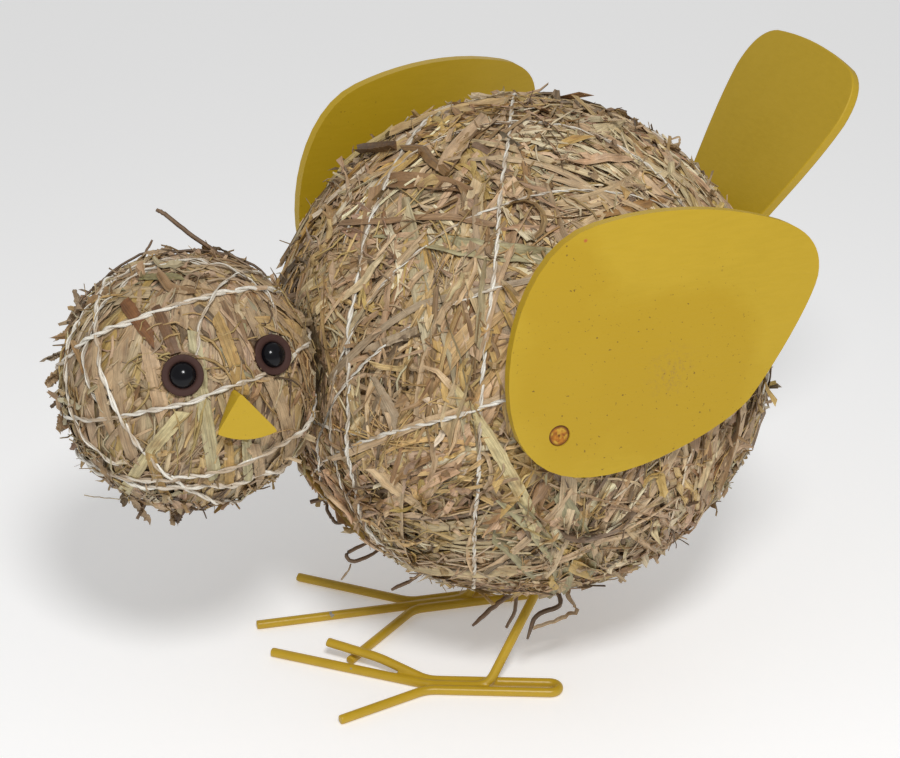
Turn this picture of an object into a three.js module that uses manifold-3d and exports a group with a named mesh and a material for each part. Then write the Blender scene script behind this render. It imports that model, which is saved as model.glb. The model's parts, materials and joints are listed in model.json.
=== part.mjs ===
// Straw chick: a large straw ball for the body, a small one for the head, painted boards for
// the wings, tail and beak, and bent wire for the legs and feet.
// Millimetres, +Z up. The chick faces -Y and its left side is +X, its face turned to +X.
// Every piece is laid out from the centre of the body ball, then the whole is moved so that
// it stands on z = 0 with its bounding box centred on the origin.
import * as THREE from 'three'
import Module from 'manifold-3d'
import { mergeVertices } from 'three/addons/utils/BufferGeometryUtils.js'

const wasm = await Module()
wasm.setup()

// ---- driving dimensions ----
const gap = 0.3                 // clearance between neighbouring pieces
const coreRadius = 62           // body ball: pressed core, straw coat, twine
const coatRadius = 72.6
const twineRadius = 0.7
const headCentre = new THREE.Vector3(0, -104, 9.7)
const headCoreRadius = 27
const headCoatRadius = 34.5
const headTwineRadius = 0.6
const neckFlat = 71.4           // distance from the body centre to the flat between the balls
const boardThickness = 3
const wireRadius = 1.5
const wireFlat = 0.1            // the wires are flattened this much where they meet the floor
const centreHeight = 97.4       // body centre above the floor
const floorZ = -centreHeight

const wingPivot = new THREE.Vector3(73.3, -27.6, 8.5)   // on the outer face of the left wing
const wingYaw = -6.1            // degrees, the wing's outward normal from +X
const wingPitch = 4.7
const rightWingRaise = 5.8      // degrees, the right wing stands a little higher
const screwHeadRadius = 2.9
const screwRadius = 1.5
const screwLength = 24
const screwSink = 0.3           // the head's top lies this far below the face of the board
const dowelRadius = 5
const dowelEnd = new THREE.Vector3(69.2, -26, 8.4)
const neckDowelRadius = 4
const neckDowelStart = 36       // from the body's centre, inside the core
const neckDowelDepth = 10       // past the head's centre

const tailLean = 32             // degrees from vertical, towards the back
const tailSide = 3.5            // degrees, tipped to the left in its own plane
const tailTwist = -1            // degrees about its own length
const tailShift = -2.6          // from the middle of the body, towards the left
const tailOffset = 40           // distance of the tail's plane from the body centre

const eyeDiscRadius = 5.5
const eyeDiscThickness = 1.6
const pupilRadius = 3.4
const pupilHeight = 2.6
const eyeStemRadius = 1.4
const eyeStemDepth = 12
const beakThickness = 5
const beakCorner = 2.2          // the lower left corner is cut in this much at the back
const beakPinRadius = 1
const beakPinStart = 20         // from the head's centre

const rad = THREE.MathUtils.degToRad
const X = new THREE.Vector3(1, 0, 0)
const Y = new THREE.Vector3(0, 1, 0)
const Z = new THREE.Vector3(0, 0, 1)
const at = (x, y, z) => new THREE.Vector3(x, y, z)

// Unit direction from azimuth (from +X towards +Y) and elevation, in degrees.
function direction(azimuth, elevation) {
  const flat = Math.cos(rad(elevation))
  return at(flat * Math.cos(rad(azimuth)), flat * Math.sin(rad(azimuth)), Math.sin(rad(elevation)))
}

// ---- solids ----
function solid(geometry) {
  const bare = geometry.clone()
  bare.deleteAttribute('normal')
  bare.deleteAttribute('uv')
  const merged = mergeVertices(bare, 1e-4)
  const triangles = []
  for (let i = 0; i < merged.index.count; i += 3) {
    const corners = [0, 1, 2].map(k => merged.index.getX(i + k))
    if (new Set(corners).size === 3) triangles.push(...corners)
  }
  return new wasm.Manifold(new wasm.Mesh({
    numProp: 3,
    vertProperties: new Float32Array(merged.attributes.position.array),
    triVerts: new Uint32Array(triangles),
  }))
}

function placed(geometry, matrix) {
  return solid(geometry.clone().applyMatrix4(matrix))
}

function frameAt(origin, xAxis, yAxis, zAxis) {
  return new THREE.Matrix4().makeBasis(xAxis, yAxis, zAxis).setPosition(origin)
}

// A frame whose z axis points along `normal`, with y as near to up as it can be.
function facing(origin, normal, roll = 0) {
  const right = new THREE.Vector3().crossVectors(Z, normal).normalize()
  const up = new THREE.Vector3().crossVectors(normal, right)
  const turn = new THREE.Matrix4().makeRotationZ(rad(roll))
  return frameAt(origin, right, up, normal).multiply(turn)
}

function ball(centre, radius, around, down) {
  const sphere = new THREE.SphereGeometry(radius, around, down)
  return solid(sphere.translate(centre.x, centre.y, centre.z))
}

function rod(from, to, radius, segments = 24) {
  const length = from.distanceTo(to)
  const cylinder = new THREE.CylinderGeometry(radius, radius, length, segments)
  const turn = new THREE.Quaternion().setFromUnitVectors(Y, to.clone().sub(from).normalize())
  const middle = from.clone().add(to).multiplyScalar(0.5)
  return placed(cylinder, new THREE.Matrix4().compose(middle, turn, at(1, 1, 1)))
}

// A profile of [radius, height] points turned about the z axis of `matrix`.
function turned(profile, matrix, segments = 32) {
  const points = profile.map(([radius, height]) => new THREE.Vector2(radius, height))
  const lathe = new THREE.LatheGeometry(points, segments).rotateX(Math.PI / 2)
  return placed(lathe, matrix)
}

// A flat outline, `thickness` deep behind the local z = top plane.
function board(shape, matrix, thickness, top = 0, curveSegments = 10) {
  const plate = new THREE.ExtrudeGeometry(shape, { depth: thickness, bevelEnabled: false, curveSegments })
  return placed(plate.translate(0, 0, top - thickness), matrix)
}

// Everything further than `distance` from the origin along `normal`.
function beyond(normal, distance) {
  const size = 260
  const block = new THREE.BoxGeometry(size, size, size).translate(0, 0, distance + size / 2)
  return placed(block, facing(at(0, 0, 0), normal))
}

function mirrored(shape) {
  return shape.mirror([1, 0, 0])
}

// A path through given sample points, one sweep section at each.
class SampledPath extends THREE.Curve {
  constructor(samples) {
    super()
    this.samples = samples
  }

  getPoint(t) {
    const last = this.samples.length - 1
    const place = Math.min(t * last, last)
    const i = Math.min(Math.floor(place), last - 1)
    return this.samples[i].clone().lerp(this.samples[i + 1], place - i)
  }

  getPointAt(t) {
    return this.getPoint(t)
  }

  getTangentAt(t) {
    const step = 0.5 / (this.samples.length - 1)
    return this.getPoint(Math.min(t + step, 1)).sub(this.getPoint(Math.max(t - step, 0))).normalize()
  }
}

// Round wire through `points`, bent with a short curve at each inner point.
function wire(points, radius, bend = 4) {
  const samples = [points[0]]
  for (let i = 1; i < points.length - 1; i += 1) {
    const before = points[i - 1].clone().sub(points[i])
    const after = points[i + 1].clone().sub(points[i])
    const reach = Math.min(bend, before.length() * 0.48, after.length() * 0.48)
    const start = points[i].clone().addScaledVector(before.normalize(), reach)
    const end = points[i].clone().addScaledVector(after.normalize(), reach)
    samples.push(...new THREE.QuadraticBezierCurve3(start, points[i], end).getPoints(4))
  }
  samples.push(points[points.length - 1])
  const section = new THREE.Shape().absarc(0, 0, radius, 0, 2 * Math.PI)
  const sweep = { steps: samples.length - 1, extrudePath: new SampledPath(samples), curveSegments: 6 }
  return solid(new THREE.ExtrudeGeometry(section, sweep))
}

// A twine ring lying on a ball: the plane it lies in has this azimuth, elevation and offset.
function ring(centre, lieRadius, [azimuth, elevation, offset], radius) {
  const ringRadius = Math.sqrt(lieRadius ** 2 - offset ** 2)
  const torus = new THREE.TorusGeometry(ringRadius, radius, 4, 20 + Math.round(ringRadius / 5))
  const normal = direction(azimuth, elevation)
  return placed(torus, facing(centre.clone().addScaledVector(normal, offset), normal))
}

// The largest piece of what is left of a net of rings after the cuts.
function net(rings, cuts) {
  const whole = cuts.reduce((left, cut) => left.subtract(cut), wasm.Manifold.union(rings))
  return whole.decompose().sort((a, b) => b.volume() - a.volume())[0]
}

// ---- pieces ----
const group = new THREE.Group()
const straw = [0.66, 0.55, 0.38]
const twineColour = [0.85, 0.8, 0.7]
const yellow = [0.72, 0.57, 0.12]

function add(name, shape, [red, green, blue], roughness, metalness = 0) {
  const { vertProperties, triVerts } = shape.getMesh()
  const geometry = new THREE.BufferGeometry()
  geometry.setAttribute('position', new THREE.BufferAttribute(vertProperties, 3))
  geometry.setIndex(new THREE.BufferAttribute(triVerts, 1))
  const material = new THREE.MeshStandardMaterial({ roughness, metalness })
  material.color.setRGB(red, green, blue)
  const mesh = new THREE.Mesh(geometry, material)
  mesh.name = name
  group.add(mesh)
}

const centre = at(0, 0, 0)
const neckDirection = headCentre.clone().normalize()
const neckSpan = headCentre.length()

// Wings: boards that swivel in their own plane on one screw each.
const wingNormal = direction(wingYaw, wingPitch)
const wingOutline = new THREE.Shape()
wingOutline.moveTo(-14, 14.6)
wingOutline.bezierCurveTo(-14.2, 31.8, -6, 53.3, 11, 56.1)
wingOutline.bezierCurveTo(27, 59, 47, 57.8, 65, 50.3)
wingOutline.bezierCurveTo(73.6, 46.6, 77, 41, 75.9, 34)
wingOutline.bezierCurveTo(74.5, 27, 63, 9.5, 56, 1.5)
wingOutline.bezierCurveTo(50, -4.5, 30, -13.2, 14, -13.6)
wingOutline.bezierCurveTo(-3.4, -14.2, -14, -4.6, -14, 14.6)

// The screw's shape, or with a clearance the hole it sits in, which is open above the head.
function screwShape(clearance) {
  const head = screwHeadRadius + clearance
  const shank = screwRadius + clearance
  const profile = [
    [0, -screwLength - clearance],
    [shank, -screwLength - clearance],
    [shank, -screwSink - (head - shank)],
    [head, -screwSink],
  ]
  if (clearance) profile.push([head, 1], [0, 1])
  else profile.push([0, -screwSink])
  return turned(profile, facing(wingPivot, wingNormal))
}
const screw = screwShape(0)
const screwHole = screwShape(0.1)
const wing = raise => board(wingOutline, facing(wingPivot, wingNormal, raise), boardThickness)
  .subtract(screwHole)
add('wing_left', wing(0), yellow, 0.55)
add('wing_right', mirrored(wing(rightWingRaise)), yellow, 0.55)
add('wing_left_screw', screw, [0.45, 0.26, 0.1], 0.6, 0.7)
add('wing_right_screw', mirrored(screw), [0.45, 0.26, 0.1], 0.6, 0.7)
const wingInnerPlane = wingPivot.dot(wingNormal) - boardThickness

// A wooden dowel right through the body holds both wing screws.
const acrossBody = (x, radius) => rod(at(-x, dowelEnd.y, dowelEnd.z), at(x, dowelEnd.y, dowelEnd.z), radius)
const crossDowel = acrossBody(dowelEnd.x, dowelRadius)
const crossBore = acrossBody(90, dowelRadius + gap)
add('cross_dowel', crossDowel.subtract(screwHole).subtract(mirrored(screwHole)), [0.72, 0.58, 0.4], 0.8)

// A dowel from the body core to the head core carries the head.
const alongNeck = distance => neckDirection.clone().multiplyScalar(distance)
const neckRod = extra => rod(
  alongNeck(neckDowelStart - extra),
  alongNeck(neckSpan + neckDowelDepth + extra),
  neckDowelRadius + extra,
)
add('neck_dowel', neckRod(0), [0.72, 0.58, 0.4], 0.8)
const neckBore = neckRod(gap)

// Tail: a board whose narrow end is pushed deep into the ball. Local y runs along the tail.
const tailAlong = at(0, Math.sin(rad(tailLean)), Math.cos(rad(tailLean)))
const tailNormal = at(0, -Math.cos(rad(tailLean)), Math.sin(rad(tailLean)))
const tailMiddle = tailNormal.clone().multiplyScalar(-tailOffset).addScaledVector(X, tailShift)
const tailFrame = frameAt(tailMiddle, X, tailAlong, tailNormal)
tailFrame.multiply(new THREE.Matrix4().makeRotationZ(rad(-tailSide)))
tailFrame.multiply(new THREE.Matrix4().makeRotationY(rad(tailTwist)))

function tailShape(extra) {
  const root = 10.2 + extra
  const flank = 21.1 + extra
  const wide = 28.5 + extra
  const corner = 19.5
  const outline = new THREE.Shape()
  outline.moveTo(-root, 32 - extra)
  outline.lineTo(root, 32 - extra)
  outline.lineTo(flank, 71)
  outline.quadraticCurveTo(wide - 1, 92, wide, 104)
  outline.quadraticCurveTo(wide, 116.5, corner, 119.2)
  outline.quadraticCurveTo(0, 122.9, -corner, 119.2)
  outline.quadraticCurveTo(-wide, 116.5, -wide, 104)
  outline.quadraticCurveTo(1 - wide, 92, -flank, 71)
  outline.closePath()
  return outline
}
add('tail_board', board(tailShape(0), tailFrame, boardThickness, boardThickness / 2), yellow, 0.55)
const tailSlot = board(tailShape(gap), tailFrame, boardThickness + 2 * gap, boardThickness / 2 + gap)

// Feet: each is one wire doubled back on itself at the heel, its ends spread as side toes.
// A leg wire comes down between its two runs and goes on as the middle toe.
const runOffset = 2.6
const wireZ = floorZ + wireRadius - wireFlat
const legBend = 17.5            // from the junction of the toes back to the foot of the leg
const heelLength = 40.8
const feet = [
  {
    side: 'left', junction: at(21.8, -41, wireZ), heading: 28.7, legTop: at(18.3, 14, -45),
    toes: { left: [[25.6, 19.5, 0]], middle: [50.1, -16.4], right: [[16, -9.2, 3.4], [32.5, -15.6, 4.6]] },
  },
  {
    side: 'right', junction: at(-22, -25.2, wireZ), heading: 12.8, legTop: at(-14, 20, -45),
    toes: { left: [[26.8, 27.5, 0]], middle: [51.6, 0], right: [[33.8, -26.5, 0]] },
  },
]

const belowFloor = solid(new THREE.BoxGeometry(300, 300, 20).translate(0, 0, floorZ - 10))
const legBores = []
for (const { side, junction, heading, legTop, toes } of feet) {
  const forward = at(-Math.sin(rad(heading)), -Math.cos(rad(heading)), 0)
  const leftward = at(Math.cos(rad(heading)), -Math.sin(rad(heading)), 0)
  const point = ([ahead, left, lift = 0]) => junction.clone()
    .addScaledVector(forward, ahead)
    .addScaledVector(leftward, left)
    .addScaledVector(Z, lift)
  const legPath = [legTop, point([-legBend, 0]), point([0, 0]), point(toes.middle)]
  const leg = wire(legPath, wireRadius)
  const heel = wireRadius - heelLength
  const footPath = [
    ...toes.left.map(point).reverse(),
    point([1, runOffset]),
    point([heel + 1.5, runOffset]),
    point([heel, 0]),
    point([heel + 1.5, -runOffset]),
    point([1, -runOffset]),
    ...toes.right.map(point),
  ]
  const foot = wire(footPath, wireRadius, 3).subtract(wire(legPath, wireRadius + 0.12))
  add(`leg_wire_${side}`, leg.subtract(belowFloor), yellow, 0.45, 0.3)
  add(`foot_wire_${side}`, foot.subtract(belowFloor), yellow, 0.45, 0.3)
  legBores.push(wire([legTop, point([-legBend, 0])], wireRadius + gap))
  legBores.push(ball(legTop, wireRadius + gap, 12, 8))
}

// Eyes: a brown disc with a black domed button through it, stem in the head core.
const eyes = [
  { side: 'right', spot: direction(-21.1, 27.3), normal: direction(-18, 25) },
  { side: 'left', spot: direction(27.9, 27.4), normal: direction(10, 26) },
]
const eyeSeats = []
const eyeStemBores = []
for (const { side, spot, normal } of eyes) {
  const frame = facing(headCentre.clone().addScaledVector(spot, headCoatRadius + 0.9), normal)
  const disc = turned([
    [pupilRadius + 0.2, -eyeDiscThickness],
    [eyeDiscRadius, -eyeDiscThickness],
    [eyeDiscRadius, -0.5],
    [eyeDiscRadius - 0.5, 0],
    [pupilRadius + 0.2, -0.3],
    [pupilRadius + 0.2, -eyeDiscThickness],
  ], frame)
  const dome = []
  for (let step = 0; step <= 6; step += 1) {
    const angle = rad(90 * step / 6)
    dome.push([step === 6 ? 0 : pupilRadius * Math.cos(angle), -0.4 + pupilHeight * Math.sin(angle)])
  }
  const pupil = turned([
    [0, -eyeStemDepth],
    [eyeStemRadius, -eyeStemDepth],
    [eyeStemRadius, -eyeDiscThickness],
    [pupilRadius, -eyeDiscThickness],
    ...dome,
  ], frame)
  add(`eye_${side}_disc`, disc, [0.22, 0.13, 0.1], 0.7)
  add(`eye_${side}_pupil`, pupil, [0.01, 0.01, 0.01], 0.08)
  eyeSeats.push(turned([
    [0, -eyeDiscThickness - gap],
    [eyeDiscRadius + gap, -eyeDiscThickness - gap],
    [eyeDiscRadius + gap, 6],
    [0, 6],
  ], frame))
  eyeStemBores.push(turned([
    [0, -eyeStemDepth - gap],
    [eyeStemRadius + gap, -eyeStemDepth - gap],
    [eyeStemRadius + gap, 0],
    [0, 0],
  ], frame))
}

// Beak: a small three-cornered block with a bowed lower edge, held by a pin. It is narrower behind.
function beakOutline(extra, corner) {
  const left = -7.2 - extra + corner
  const right = 9.4 + extra
  const bottom = -3 - extra
  const outline = new THREE.Shape()
  outline.moveTo(left, bottom)
  outline.quadraticCurveTo(1.1, -6.5 - extra, right, bottom)
  outline.quadraticCurveTo(right, -2.4, right - 0.7, -1.7)
  outline.lineTo(-0.9 + extra, 7.2 + extra)
  outline.quadraticCurveTo(-1.6, 7.9 + extra, -2.3 - extra, 7 + extra)
  outline.lineTo(left, bottom + 0.8)
  outline.closePath()
  return outline
}
const beakDirection = direction(2, 6)
const beakFace = headCoatRadius + beakThickness
const beakFrame = facing(headCentre.clone().addScaledVector(beakDirection, beakFace), beakDirection, -10)
const alongBeak = distance => headCentre.clone().addScaledVector(beakDirection, distance)
const pinRod = extra => rod(
  alongBeak(beakPinStart - extra),
  alongBeak(beakFace - 2 + extra),
  beakPinRadius + extra,
  16,
)
const beakSeat = board(beakOutline(gap, 0), beakFrame, beakThickness + gap + 10, 10)
const beakLoop = (corner, depth) => beakOutline(0, corner).getPoints(8).map(({ x, y }) => [x, y, -depth])
const beak = wasm.Manifold.hull([...beakLoop(0, 0), ...beakLoop(beakCorner, beakThickness)])
add('beak', beak.transform(beakFrame.elements).subtract(pinRod(gap)), yellow, 0.5)
add('beak_pin', pinRod(0), [0.6, 0.6, 0.6], 0.4, 0.8)

// Body ball. Core and coat are bored for everything that is pushed into them.
const bodyCuts = [neckBore, crossBore, tailSlot, ...legBores]
const cut = (whole, cuts) => cuts.reduce((left, tool) => left.subtract(tool), whole)
const pastNeck = beyond(neckDirection, neckFlat - gap)
const bodyCoat = ball(centre, coatRadius, 40, 24).subtract(ball(centre, coreRadius + 1, 24, 16))
add('body_core', cut(ball(centre, coreRadius, 24, 16), bodyCuts), [0.5, 0.42, 0.28], 1)
add('body_straw_coat', cut(bodyCoat, [...bodyCuts, pastNeck]), straw, 1)

const bodyRings = [
  [-121, 3, 7.3],
  [42, 2, -25.5],
  [167, 3, -36.5],
  [174, 52, -26.9],
  [-28, 36, 51.9],
  [164, 24, -35],
  [160, -35, 8],
]
const bodyLie = coatRadius + gap + twineRadius
const underWing = beyond(wingNormal, wingInnerPlane - gap)
const wideDowelBore = acrossBody(90, dowelRadius + 2)
add('body_twine', net(
  bodyRings.map(plane => ring(centre, bodyLie, plane, twineRadius)),
  [pastNeck, underWing, mirrored(underWing), wideDowelBore, tailSlot, ...legBores],
), twineColour, 0.7)

// Head ball, with the same build.
const beforeNeck = placed(
  new THREE.BoxGeometry(260, 260, 260).translate(0, 0, neckFlat + gap - 130),
  facing(centre, neckDirection),
)
const headCuts = [neckBore, pinRod(gap), ...eyeStemBores]
const headCoat = ball(headCentre, headCoatRadius, 32, 20).subtract(ball(headCentre, headCoreRadius + 1, 20, 12))
add('head_core', cut(ball(headCentre, headCoreRadius, 20, 12), headCuts), [0.5, 0.42, 0.28], 1)
add('head_straw_coat', cut(headCoat, [...headCuts, beforeNeck, beakSeat, ...eyeSeats]), straw, 1)

const headRings = [
  [-175, 51, 13.7],
  [50, 33, -1.9],
  [-146, 73, 3.3],
  [-88, 81, -10.7],
  [127, 85, -19.1],
  [-29, 34, 18.9],
]
const headLie = headCoatRadius + gap + headTwineRadius
add('head_twine', net(
  headRings.map(plane => ring(headCentre, headLie, plane, headTwineRadius)),
  [beforeNeck, beakSeat, ...eyeSeats],
), twineColour, 0.7)

// ---- stand the chick on z = 0, centred on its bounding box ----
const box = new THREE.Box3().setFromObject(group)
const middle = box.getCenter(at(0, 0, 0))
for (const mesh of group.children) {
  mesh.geometry.translate(-middle.x, -middle.y, centreHeight)
  mesh.geometry.computeVertexNormals()
}

export default group
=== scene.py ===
"""Straw chick: the looks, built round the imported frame. Lengths here are in millimetres unless said."""

import json
import math

import bmesh
import bpy
import numpy as np
from mathutils import Matrix, Vector


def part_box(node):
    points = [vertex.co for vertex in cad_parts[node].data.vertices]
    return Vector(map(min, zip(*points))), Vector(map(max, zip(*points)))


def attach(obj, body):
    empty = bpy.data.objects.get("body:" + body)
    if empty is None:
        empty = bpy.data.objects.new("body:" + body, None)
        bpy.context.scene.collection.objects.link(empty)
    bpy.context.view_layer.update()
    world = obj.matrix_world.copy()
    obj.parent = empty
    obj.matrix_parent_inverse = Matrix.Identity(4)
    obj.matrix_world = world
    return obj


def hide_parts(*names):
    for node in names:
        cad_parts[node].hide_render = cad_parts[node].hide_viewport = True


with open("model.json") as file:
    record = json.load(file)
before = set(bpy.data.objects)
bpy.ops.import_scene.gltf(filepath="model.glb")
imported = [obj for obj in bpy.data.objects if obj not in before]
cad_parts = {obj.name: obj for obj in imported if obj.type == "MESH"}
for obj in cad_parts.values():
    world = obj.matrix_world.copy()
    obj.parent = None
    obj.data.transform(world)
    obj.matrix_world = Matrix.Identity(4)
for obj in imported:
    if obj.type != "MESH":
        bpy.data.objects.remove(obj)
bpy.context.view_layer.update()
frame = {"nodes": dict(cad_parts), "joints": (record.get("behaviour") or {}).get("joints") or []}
MM = 0.001


# ---- places taken from the frame ----

def node_centre(node):
    low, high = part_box(node)
    return (np.array(low) + np.array(high)) / 2 / MM


def node_half_size(node):
    low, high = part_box(node)
    return (np.array(high) - np.array(low)) / 2 / MM


def unit(vector):
    vector = np.array(vector, float)
    return vector / np.linalg.norm(vector)


def direction(azimuth, elevation):
    """Unit direction from azimuth (from +X towards +Y) and elevation, in degrees."""
    a, e = math.radians(azimuth), math.radians(elevation)
    return np.array([math.cos(e) * math.cos(a), math.cos(e) * math.sin(a), math.sin(e)])


BODY = node_centre("body_core")
HEAD = node_centre("head_core")
BODY_COAT = node_half_size("body_straw_coat")[0]
HEAD_COAT = node_half_size("head_straw_coat")[2]
NECK = unit(HEAD - BODY)
NECK_FLAT = 71.4  # the flat between the two balls, from the body's centre
HEAD_FLAT = np.linalg.norm(HEAD - BODY) - NECK_FLAT
BOARD = 3.0  # thickness of a wing
SCREWS = {}  # where each wing's outer face meets its screw
WINGS = []  # outward normal and distance of each wing's inner face
for side, outward in (("left", 1), ("right", -1)):
    swivel = next(entry for entry in frame["joints"] if entry["name"] == f"wing_{side}_swivel")
    SCREWS[side] = np.array(swivel["pos_m"]) / MM
    normal = outward * unit(swivel["axis"])
    WINGS.append((normal, (SCREWS[side] - BODY) @ normal - BOARD))

EYES = {
    "right": {"spot": direction(-21.1, 27.3), "normal": direction(-18, 25)},
    "left": {"spot": direction(27.9, 27.4), "normal": direction(10, 26)},
}
EYE_RADIUS = 5.5
EYE_THICKNESS = 1.6
EYE_FRONT = HEAD_COAT + 0.9  # the front of an eye's disc, from the head's centre
EYE_BED = 1.9  # straw is pressed this far behind a disc's front
BEAK_SPOT = direction(2, 6)
BEAK_REACH = 7.5  # straw this near the beak's pin is pressed flat
BEAK_BED = 0.2


# ---- shader helpers ----

def linear(red, green, blue):
    """A screen colour, 0 to 255, as linear light."""
    def channel(value):
        value /= 255
        return value / 12.92 if value <= 0.04045 else ((value + 0.055) / 1.055) ** 2.4
    return (channel(red), channel(green), channel(blue), 1.0)


class Shader:
    """A small builder round one material's node tree."""

    def __init__(self, name, roughness, specular):
        self.material = bpy.data.materials.new(name)
        self.material.use_nodes = True
        self.tree = self.material.node_tree
        self.surface = self.tree.nodes["Principled BSDF"]
        self.surface.inputs["Roughness"].default_value = roughness
        self.surface.inputs["Specular IOR Level"].default_value = specular

    def node(self, kind, **settings):
        node = self.tree.nodes.new(kind)
        for key, value in settings.items():
            setattr(node, key, value)
        return node

    def link(self, output, target):
        self.tree.links.new(output, target)

    def coordinates(self, scale=(1, 1, 1)):
        return self.scaled(self.node("ShaderNodeTexCoord").outputs["Object"], scale)

    def grain(self, scale):
        """Places on a strip or ply, in millimetres across and along it."""
        return self.scaled(self.node("ShaderNodeUVMap", uv_map="grain").outputs["UV"], scale)

    def tone(self):
        return self.node("ShaderNodeVertexColor", layer_name="tone").outputs["Color"]

    def scaled(self, source, scale):
        mapping = self.node("ShaderNodeMapping")
        mapping.inputs["Scale"].default_value = scale
        self.link(source, mapping.inputs["Vector"])
        return mapping.outputs["Vector"]

    def noise(self, vector, scale, detail=3.0, roughness=0.55):
        noise = self.node("ShaderNodeTexNoise")
        noise.inputs["Scale"].default_value = scale
        noise.inputs["Detail"].default_value = detail
        noise.inputs["Roughness"].default_value = roughness
        self.link(vector, noise.inputs["Vector"])
        return noise.outputs["Fac"]

    def spread(self, value, low, high, to_low=0.0, to_high=1.0):
        """Maps low..high to to_low..to_high, held at the ends."""
        step = self.node("ShaderNodeMapRange")
        for key, number in (("From Min", low), ("From Max", high), ("To Min", to_low), ("To Max", to_high)):
            step.inputs[key].default_value = number
        self.link(value, step.inputs["Value"])
        return step.outputs["Result"]

    def math(self, operation, first, second):
        node = self.node("ShaderNodeMath", operation=operation)
        for socket, value in zip(node.inputs, (first, second)):
            if isinstance(value, (int, float)):
                socket.default_value = value
            else:
                self.link(value, socket)
        return node.outputs["Value"]

    def mix(self, factor, first, second, blend="MIX"):
        node = self.node("ShaderNodeMix", data_type="RGBA", blend_type=blend)
        for socket, value in ((node.inputs[0], factor), (node.inputs[6], first), (node.inputs[7], second)):
            if isinstance(value, (int, float, tuple)):
                socket.default_value = value
            else:
                self.link(value, socket)
        return node.outputs[2]

    def bump(self, height, strength, distance):
        node = self.node("ShaderNodeBump")
        node.inputs["Strength"].default_value = strength
        node.inputs["Distance"].default_value = distance * MM
        self.link(height, node.inputs["Height"])
        self.link(node.outputs["Normal"], self.surface.inputs["Normal"])

    def colour(self, value):
        self.link(value, self.surface.inputs["Base Color"])

    def rough(self, value):
        self.link(value, self.surface.inputs["Roughness"])


# ---- mesh helpers ----

def linked(name, data):
    item = bpy.data.objects.new(name, data)
    bpy.context.scene.collection.objects.link(item)
    return item


def as_mesh(name, shape):
    mesh = bpy.data.meshes.new(name)
    shape.to_mesh(mesh)
    shape.free()
    return mesh


def mesh_object(name, vertices, faces, material, smooth=False, tone=None, grain=None):
    """An object from an (n, 3) array in millimetres and an (m, k) array of faces, k corners each.

    `tone` is a colour for each vertex, `grain` its place on the strip it belongs to.
    """
    mesh = bpy.data.meshes.new(name)
    corners = faces.shape[1]
    mesh.vertices.add(len(vertices))
    mesh.vertices.foreach_set("co", (vertices * MM).astype(np.float32).ravel())
    mesh.loops.add(faces.size)
    mesh.loops.foreach_set("vertex_index", faces.astype(np.int32).ravel())
    mesh.polygons.add(len(faces))
    mesh.polygons.foreach_set("loop_start", np.arange(len(faces), dtype=np.int32) * corners)
    mesh.polygons.foreach_set("use_smooth", np.full(len(faces), smooth))
    mesh.update(calc_edges=True)
    if tone is not None:
        layer = mesh.color_attributes.new("tone", "FLOAT_COLOR", "POINT")
        layer.data.foreach_set("color", tone.astype(np.float32).ravel())
    if grain is not None:
        layer = mesh.uv_layers.new(name="grain")
        layer.data.foreach_set("uv", grain[faces.ravel()].astype(np.float32).ravel())
    mesh.materials.append(material)
    return linked(name, mesh)


def tube_faces(count, rings, sides, closed=False):
    """Quads of `count` tubes, each `rings` sections of `sides` points. A closed tube joins its ends."""
    spans = rings if closed else rings - 1
    k, j = np.meshgrid(np.arange(spans), np.arange(sides), indexing="ij")
    ahead = (k + 1) % rings
    beside = (j + 1) % sides
    quads = np.stack([k * sides + j, k * sides + beside, ahead * sides + beside, ahead * sides + j], -1)
    quads = quads.reshape(-1, 4)
    if not closed and sides == 4:
        last = (rings - 1) * sides
        quads = np.vstack([quads, [[3, 2, 1, 0]], [[last, last + 1, last + 2, last + 3]]])
    starts = np.arange(count) * rings * sides
    return (quads[None] + starts[:, None, None]).reshape(-1, 4)


def turned(name, profile, origin, normal, material):
    """A profile of (radius, height) points, closed on itself or on the axis, turned about `normal`."""
    turn = Vector((0, 0, 1)).rotation_difference(Vector(normal)).to_matrix()
    shape = bmesh.new()
    points = [shape.verts.new(Vector((radius, 0, height))) for radius, height in profile]
    edges = [shape.edges.new((a, b)) for a, b in zip(points, points[1:])]
    bmesh.ops.spin(shape, geom=points + edges, cent=(0, 0, 0), axis=(0, 0, 1), angle=2 * math.pi,
                   steps=96, use_merge=True)
    bmesh.ops.remove_doubles(shape, verts=shape.verts, dist=1e-4)
    bmesh.ops.recalc_face_normals(shape, faces=shape.faces)
    matrix = Matrix.Translation(Vector(origin) * MM) @ turn.to_4x4() @ Matrix.Scale(MM, 4)
    shape.transform(matrix)
    mesh = as_mesh(name, shape)
    mesh.shade_smooth()
    mesh.materials.append(material)
    return linked(name, mesh)


def copied_mesh(*nodes):
    """The solids of some CAD nodes in one mesh."""
    shape = bmesh.new()
    for node in nodes:
        shape.from_mesh(frame["nodes"][node].data)
    bmesh.ops.remove_doubles(shape, verts=shape.verts, dist=1e-6)
    return shape


def softened(name, node, material, edge):
    """A copy of a flat CAD board with its sawn edges rounded over."""
    shape = copied_mesh(node)
    bmesh.ops.dissolve_limit(shape, angle_limit=math.radians(1), verts=shape.verts, edges=shape.edges)
    sharp = [e for e in shape.edges if e.is_manifold and e.calc_face_angle() > math.radians(40)]
    bmesh.ops.bevel(shape, geom=sharp, offset=edge * MM, segments=3, profile=0.6, affect="EDGES",
                    clamp_overlap=True)
    mesh = as_mesh(name, shape)
    mesh.shade_smooth()
    mesh.materials.clear()
    mesh.materials.append(material)
    item = linked(name, mesh)
    item.modifiers.new("even", "WEIGHTED_NORMAL").keep_sharp = False
    return item


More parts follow.
